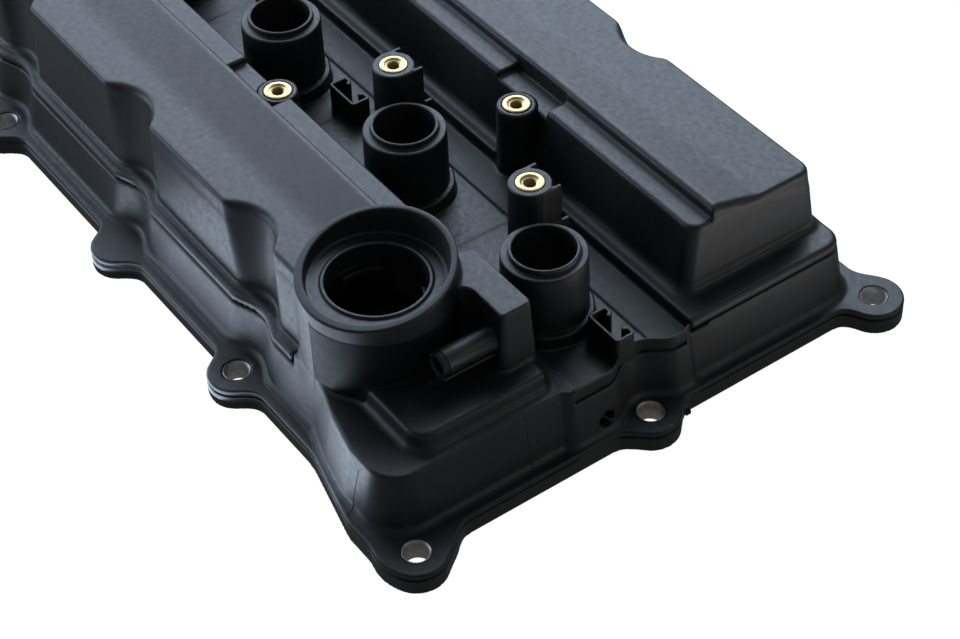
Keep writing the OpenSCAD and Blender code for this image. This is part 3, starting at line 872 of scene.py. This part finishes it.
def breather_spigot():
    """The hose spigot on the breather block, with a rounded end and a bead for the hose."""
    bore, wide, bead = 3.7, 5.3, 5.62
    profile = [(bore, 0), (bore, 25.4), (4.5, 26.2), (4.95, 26.2), (5.15, 25.8), (5.2, 23.6)]
    profile += [(bead, 23.2), (bead, 22.8), (wide, 22.4), (wide, 3.5), (5.9, 1.4), (6.8, 0.0)]
    flat = [(1, 0, 0), (0, 0, -1), (0, 1, 0)]
    piece = turned("breather_spigot", profile, 96, BODY_PLASTIC, (SPIGOT_X, -51.8, 56), flat)
    keep(piece)


def knurled(r, z, angle):
    """A fine knurl on the outside of an insert, 36 teeth round."""
    return np.where(r > 5.5, 0.12 * np.cos(36 * angle), 0)


def brass_inserts():
    """Threaded inserts: a knurled barrel, a flat rim, a countersink and thread grooves."""
    turns, pitch, thread_r, thread_depth = 11, 1.0, 2.62, 0.34
    nodes = [f"coil_insert_{i + 1}" for i in range(4)] + ["left_trim_insert", "right_trim_insert"]
    for node in nodes:
        x, y = node_centre(node)
        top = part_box(node)[1].z / MM
        profile = [(3.35, top - 0.75), (4.0, top - 0.12), (4.4, top), (5.3, top)]
        profile += [(5.85, top - 0.25), (5.95, top - 0.9), (5.95, top - 13.9), (2.2, top - 13.9)]
        depth = top - 0.8 - pitch * np.arange(0, turns, 0.25)
        for k, z in enumerate(depth[::-1]):
            profile.append((thread_r + thread_depth * (1 if k % 4 in (2, 3) else -0.3), z))
        piece = turned(f"{node}_brass", profile, 72, BRASS, (x, y, 0), wave=knurled)
        keep(piece, node, "insert_brass")


def valve_spring():
    """The valve's return spring, built as a fixed coil; it doesn't shorten when the plunger lifts.
    """
    node = "vent_valve_spring"
    low, high = [np.array(p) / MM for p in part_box(node)]
    cx, cy = (low[:2] + high[:2]) / 2
    wire, turns, sides = 0.4, 6, 10
    reach = (high[0] - low[0]) / 2 - wire
    u = np.linspace(0, 1, turns * 40 + 1)
    angle = 2 * np.pi * turns * u
    height = low[2] + wire + (high[2] - low[2] - 2 * wire) * u
    around = np.linspace(0, 2 * np.pi, sides, endpoint=False)
    out = reach + wire * np.cos(around) * np.ones((len(u), 1))
    points = np.stack([
        cx + out * np.cos(angle)[:, None], cy + out * np.sin(angle)[:, None],
        height[:, None] + wire * np.sin(around),
    ], -1).reshape(-1, 3)
    i, k = np.meshgrid(np.arange(len(u) - 1), np.arange(sides), indexing="ij")
    m = (k + 1) % sides
    faces = np.stack([i * sides + k, (i + 1) * sides + k, (i + 1) * sides + m, i * sides + m], -1)
    piece = set_mesh("valve_spring_coil", points * MM, faces.reshape(-1, 4))
    piece.data.materials.append(VALVE_STEEL)
    keep(piece, node, "valve_steel")
    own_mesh(piece)


def bolt_sleeves():
    """Steel sleeves in the bolt holes, with a wide lead-in at both ends."""
    top, bore, wide = FLANGE_T - 0.15, 4.75, 5.75
    profile = [(bore, 1.0), (bore, top - 1.0), (5.3, top - 0.25), (5.55, top), (wide, top - 0.2)]
    profile += [(wide, 0.3), (5.5, 0.1), (5.2, 0.15)]
    for i, (x, y) in enumerate(BOLTS):
        node = f"bolt_sleeve_{i + 1}"
        piece = turned(f"{node}_steel", profile, 96, SLEEVE_STEEL, (x, y, 0))
        keep(piece, node, "sleeve_steel")


# ---- Materials ----
def new_material(name):
    """A material, its nodes, its links and its main shader."""
    material = bpy.data.materials.new(name)
    material.use_nodes = True
    nodes = material.node_tree.nodes
    return material, nodes, material.node_tree.links, nodes["Principled BSDF"]


def add_node(nodes, kind, **values):
    """A shader node, with values for its inputs or its settings."""
    node = nodes.new(kind)
    for key, value in values.items():
        if key in node.inputs:
            node.inputs[key].default_value = value
        else:
            setattr(node, key, value)
    return node


def mapped(nodes, links, value, **limits):
    """A shader value taken from one range to another, each 0 to 1 unless given."""
    node = add_node(nodes, "ShaderNodeMapRange", **limits)
    links.new(value, node.inputs["Value"])
    return node.outputs["Result"]


def tinted(nodes, links, value, shader, stops):
    """Colours the shader by a value, from two (position, colour) stops."""
    ramp = add_node(nodes, "ShaderNodeValToRGB")
    for element, (position, colour) in zip(ramp.color_ramp.elements, stops):
        element.position = position
        element.color = (*colour, 1)
    links.new(value, ramp.inputs["Fac"])
    links.new(ramp.outputs["Color"], shader.inputs["Base Color"])


def bumped(nodes, links, value, shader, strength, distance):
    """Roughens the shader's surface by a value."""
    bump = add_node(nodes, "ShaderNodeBump", Strength=strength, Distance=distance)
    links.new(value, bump.inputs["Height"])
    links.new(bump.outputs["Normal"], shader.inputs["Normal"])


def within(nodes, links, value, low, high):
    """1 where a value lies between two limits, with ends 0.2 mm soft."""
    ends = []
    for limit, sign in ((low, 1), (high, -1)):
        start, stop = limit - sign * 0.1 * MM, limit + sign * 0.1 * MM
        ends.append(mapped(nodes, links, value, **{"From Min": start, "From Max": stop}))
    return product(nodes, links, *ends)


def product(nodes, links, a, b):
    """The product of two shader values."""
    node = add_node(nodes, "ShaderNodeMath", operation="MULTIPLY")
    links.new(a, node.inputs[0])
    links.new(b, node.inputs[1])
    return node.outputs["Value"]


def paint_neck_front_shade(nodes, links, place, shader):
    """Painted shade: the front of the filler neck gets a weaker reflection, so it reads as the
    darker, shaded side of the neck.
    """
    split = add_node(nodes, "ShaderNodeSeparateXYZ")
    links.new(place, split.inputs["Vector"])
    offset = add_node(nodes, "ShaderNodeVectorMath", operation="SUBTRACT")
    offset.inputs[1].default_value = (NECK[0] * MM, NECK[1] * MM, 0)
    links.new(place, offset.inputs[0])
    flat = add_node(nodes, "ShaderNodeVectorMath", operation="MULTIPLY")
    flat.inputs[1].default_value = (1, 1, 0)
    links.new(offset.outputs["Vector"], flat.inputs[0])
    reach = add_node(nodes, "ShaderNodeVectorMath", operation="LENGTH")
    links.new(flat.outputs["Vector"], reach.inputs[0])
    shaded_area = within(nodes, links, split.outputs["X"], 141.4 * MM, 190 * MM)
    for value, low, high in (
        (split.outputs["Y"], -112, -56), (split.outputs["Z"], 37, 65.5),
        (reach.outputs["Value"], 30, 34),
    ):
        shaded_area = product(nodes, links, shaded_area, within(nodes, links, value, low * MM, high * MM))
    level = mapped(nodes, links, shaded_area, **{"To Min": 0.5, "To Max": 0.1})
    links.new(level, shader.inputs["Specular IOR Level"])


def plastic(name, colour, rough, neck_front_shade=False):
    """Moulded plastic: cloudy colour, a fine grain and uneven gloss from its fibres."""
    material, nodes, links, shader = new_material(name)
    place = add_node(nodes, "ShaderNodeTexCoord").outputs["Object"]
    clouds = add_node(nodes, "ShaderNodeTexNoise", Scale=28.0, Detail=5.0)
    grain = add_node(nodes, "ShaderNodeTexNoise", Scale=1900.0, Detail=3.0)
    fibres = add_node(nodes, "ShaderNodeTexNoise", Scale=420.0, Detail=4.0)
    for texture in (clouds, grain, fibres):
        links.new(place, texture.inputs["Vector"])
    stops = [(0.3, [c * 0.78 for c in colour]), (0.72, [c * 1.28 for c in colour])]
    tinted(nodes, links, clouds.outputs["Fac"], shader, stops)
    limits = {"From Min": 0.3, "From Max": 0.7, "To Min": rough - 0.05, "To Max": rough + 0.07}
    gloss = mapped(nodes, links, fibres.outputs["Fac"], **limits)
    links.new(gloss, shader.inputs["Roughness"])
    bumped(nodes, links, grain.outputs["Fac"], shader, 0.22, 0.00012)
    shader.inputs["IOR"].default_value = 1.55
    # Painted shade on the front of the filler neck, made with a weaker reflection there.
    if neck_front_shade:
        paint_neck_front_shade(nodes, links, place, shader)
    return material


def metal(name, colour, rough, scale):
    """Bare metal with fine stains at a noise scale."""
    material, nodes, links, shader = new_material(name)
    place = add_node(nodes, "ShaderNodeTexCoord").outputs["Object"]
    stain = add_node(nodes, "ShaderNodeTexNoise", Scale=scale, Detail=5.0)
    links.new(place, stain.inputs["Vector"])
    stops = [(0.32, [c * 0.7 for c in colour]), (0.68, colour)]
    tinted(nodes, links, stain.outputs["Fac"], shader, stops)
    shader.inputs["Metallic"].default_value = 1.0
    shader.inputs["Roughness"].default_value = rough
    bumped(nodes, links, stain.outputs["Fac"], shader, 0.15, 0.0001)
    return material


# The body's plastic carries painted shade on the front of the filler neck.
BODY_PLASTIC = plastic("body_plastic", (0.0105, 0.0118, 0.0138), 0.47, neck_front_shade=True)
LID_PLASTIC = plastic("lid_plastic", (0.012, 0.0138, 0.0163), 0.45)
INNER_PLASTIC = plastic("inner_plastic", (0.009, 0.009, 0.010), 0.55)
SEAL_RUBBER = plastic("seal_rubber", (0.008, 0.008, 0.008), 0.7)
BRASS = metal("insert_brass", (0.80, 0.62, 0.30), 0.38, 900.0)
SLEEVE_STEEL = metal("sleeve_steel", (0.72, 0.70, 0.68), 0.55, 500.0)
VALVE_STEEL = metal("valve_steel", (0.62, 0.62, 0.60), 0.3, 500.0)


def dress(node, material):
    """Gives a CAD node its material."""
    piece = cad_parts[node]
    piece.data.materials.clear()
    piece.data.materials.append(material)


# ---- Build ----
def keep(piece, node="cover_body", slot="moulded_plastic"):
    """Fixes a piece to the cover in place of a CAD node, the lower moulding unless named."""
    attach(piece, "cover")
    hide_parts(node)


# Boxes that the finer pieces of the body fill, and how far the coarse body lies under them.
TILES = {
    "neck_shell": ((104.0, -112.5, 30.0), (206.0, -37.0, 90.0)),
    "flange_shell": ((96.0, -140.0, -3.0), (240.0, 140.0, 12.5)),
    "rim_shell": ((194.0, -36.5, 24.0), (214.0, 32.0, 42.0)),
}
SINK = 0.14


def inside(box, middle, margin=0.0):
    """Which points lie inside a box, less a margin."""
    low, high = np.array(box[0]) + margin, np.array(box[1]) - margin
    return np.all((middle > low) & (middle < high), axis=1)


def build_body():
    """The lower moulding, with finer pieces round the filler neck and along the near flange."""
    field = Field((-232, -134, -2), (232, 134, 84), COARSE)
    body_solid(field)
    for i, (x0, x1) in enumerate(((-FAR, -70), (-70, 70), (70, FAR))):

        def wanted(middle):
            fine = [inside(box, middle, COARSE) for box in TILES.values()]
            return (middle[:, 0] >= x0) & (middle[:, 0] < x1) & ~np.any(fine, axis=0)

        piece = moulding(f"body_shell_{i + 1}", field, BODY_PLASTIC, wanted, sink=SINK)
        keep(piece)
    mould_lines(field)
    for name, box in TILES.items():
        low = np.maximum(np.array(box[0]) - 2, (-232, -134, -2))
        high = np.minimum(np.array(box[1]) + 2, (232, 134, 86))
        field = Field(low, high, FINE)
        body_solid(field)
        piece = moulding(name, field, BODY_PLASTIC, lambda middle: inside(box, middle), 0.38)
        keep(piece)


def mould_lines(field):
    """Lines where the mould's slides met, on the filler neck and round the near corner."""
    front = []
    for a in np.radians(np.linspace(-88, -8, 30)):
        c, s = np.cos(a), np.sin(a)
        front.append((NECK[0] + 31 * c, NECK[1] + 31 * s, 68.5 - 1.2 * c + 3.2 * s))
    lines = {
        "neck_side_line": [(141, -108.5, 67), (141.5, -110, 37), (138.5, -109.5, 12)],
        "neck_front_line": front,
        "near_wall_line": [(204.5, -55.2, 34.5), (208.5, -55.2, 13), (212, -55.4, 10)],
        "corner_line": [(186.5, -118.5, 31), (184.5, -121, 13), (187, -126.5, 10)],
    }
    for name, points in lines.items():
        seam(name, field, points, 0.32)


def seam(name, field, points, width):
    """A fine mould line: a thin ridge that follows the solid's surface through points."""
    path = []
    for a, b in zip(points[:-1], points[1:]):
        a, b = np.array(a, float), np.array(b, float)
        count = max(2, int(np.linalg.norm(b - a) / 0.8))
        path += [a + (b - a) * t for t in np.linspace(0, 1, count, endpoint=False)]
    path = field.settle(np.array(path + [points[-1]], np.float32), 12)
    out = field.slope(path, field.step)
    along = np.gradient(path, axis=0)
    along /= np.maximum(np.linalg.norm(along, axis=1, keepdims=True), 1e-6)
    across = np.cross(out, along)
    rows = [
        path + across * width - out * 0.2, path + out * width * 0.55,
        path - across * width - out * 0.2,
    ]
    points = np.stack(rows, 1).reshape(-1, 3)
    i = np.arange(len(path) - 1)[:, None] * 3
    faces = np.concatenate([i + [0, 1, 4, 3], i + [1, 2, 5, 4], i + [2, 0, 3, 5]])
    piece = set_mesh(name, points * MM, faces)
    piece.data.materials.append(INNER_PLASTIC)
    keep(piece)


def build_lids():
    """The two chamber mouldings."""
    field = Field((-210, 20, 28), (212, 114, 78), COARSE)
    right_lid_solid(field)
    keep(moulding("right_lid_shell", field, LID_PLASTIC), "right_chamber_lid", "lid_plastic")
    field = Field((-210, -114, 28), (132, -30, 78), COARSE)
    left_lid_solid(field)
    keep(moulding("left_lid_shell", field, LID_PLASTIC), "left_chamber_lid", "lid_plastic")


def build_stage():
    """A floor that reads white, a dim room, soft lights above and two low lights facing up."""
    scene = bpy.context.scene
    scene.view_settings.view_transform = "Standard"
    mesh = bpy.data.meshes.new("floor")
    size = 6.0
    corners = [(-size, -size, 0), (size, -size, 0), (size, size, 0), (-size, size, 0)]
    mesh.from_pydata(corners, [], [(0, 1, 2, 3)])
    floor = bpy.data.objects.new("floor", mesh)
    scene.collection.objects.link(floor)
    material, nodes, links, shader = new_material("pale_floor")
    shader.inputs["Base Color"].default_value = (0.12, 0.12, 0.12, 1)
    shader.inputs["Roughness"].default_value = 1.0
    shader.inputs["Specular IOR Level"].default_value = 0.0
    shader.inputs["Emission Color"].default_value = (1, 1, 1, 1)
    seen = nodes.new("ShaderNodeLightPath").outputs["Is Camera Ray"]
    glow = mapped(nodes, links, seen, **{"To Min": 0.12, "To Max": 1.0})
    links.new(glow, shader.inputs["Emission Strength"])
    mesh.materials.append(material)
    world = bpy.data.worlds.new("studio")
    world.use_nodes = True
    background = world.node_tree.nodes["Background"]
    background.inputs["Color"].default_value = (0.9, 0.95, 1.0, 1)
    background.inputs["Strength"].default_value = 0.1
    scene.world = world
    cool = (0.80, 0.95, 1.15)
    lamp("back_light", (-1.1, 0.50, 0.82), (0.0, 0.0, 0.05), (2.0, 1.1), 23.0, cool)
    lamp("top_light", (-0.8, 0.95, 1.5), (0.1, 0.0, 0.0), (1.3, 1.0), 7.0, cool)
    lamp("side_light", (-0.85, -0.8, 0.3), (0.0, -0.05, 0.03), (0.8, 0.5), 4.2, cool)
    lamp("left_light", (0.07, -0.15, 0.004), (0.07, -0.15, 1.0), (0.2, 0.04), 0.13, cool)
    lamp("near_light", (0.52, 0.3, 0.004), (0.52, 0.3, 1.0), (0.5, 0.5), 1.3, (1.0, 0.98, 0.98))
    lamp("front_light", (0.9, 0.5, 0.7), (0.1, 0.0, 0.0), (0.5, 0.5), 0.7, (1.0, 0.97, 0.94))


def lamp(name, place, aim, size, power, colour):
    """A soft rectangular light that the camera doesn't see."""
    data = bpy.data.lights.new(name, "AREA")
    data.shape = "RECTANGLE"
    data.size, data.size_y = size
    data.energy = power
    data.color = colour
    light = bpy.data.objects.new(name, data)
    light.visible_camera = False
    light.location = place
    light.rotation_mode = "QUATERNION"
    light.rotation_quaternion = (Vector(aim) - Vector(place)).to_track_quat("-Z", "Y")
    bpy.context.scene.collection.objects.link(light)


def build_camera():
    """The camera stands off the filler corner and looks down along the cover."""
    place, lens = (0.70075, -0.41131, 0.66758), 86.82
    azimuth, elevation, roll = np.radians((55.784, 43.601, -2.177))
    flat = np.cos(elevation)
    back = np.array([np.sin(azimuth) * flat, -np.cos(azimuth) * flat, np.sin(elevation)])
    right = np.array([np.cos(azimuth), np.sin(azimuth), 0])
    up = np.cross(back, right)
    tilted_right = np.cos(roll) * right + np.sin(roll) * up
    tilted_up = -np.sin(roll) * right + np.cos(roll) * up
    data = bpy.data.cameras.new("camera")
    data.lens = lens
    data.sensor_width = 36
    data.clip_start = 0.01
    camera = bpy.data.objects.new("camera", data)
    turn = Matrix([tilted_right, tilted_up, back]).transposed().to_4x4()
    camera.matrix_world = Matrix.Translation(place) @ turn
    bpy.context.scene.collection.objects.link(camera)
    bpy.context.scene.camera = camera


build_camera()
build_stage()
build_body()
build_lids()
tube_rims()
coil_bosses()
wire_clips()
breather_spigot()
brass_inserts()
valve_spring()
bolt_sleeves()
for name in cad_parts:
    if name.startswith("bolt_sleeve"):
        dress(name, SLEEVE_STEEL)
    elif "insert" in name:
        dress(name, BRASS)
    elif "seal" in name or "gasket" in name or "ring" in name:
        dress(name, SEAL_RUBBER)
    elif name in ("vent_valve_plunger", "vent_valve_spring"):
        dress(name, VALVE_STEEL)
    else:
        dress(name, INNER_PLASTIC)
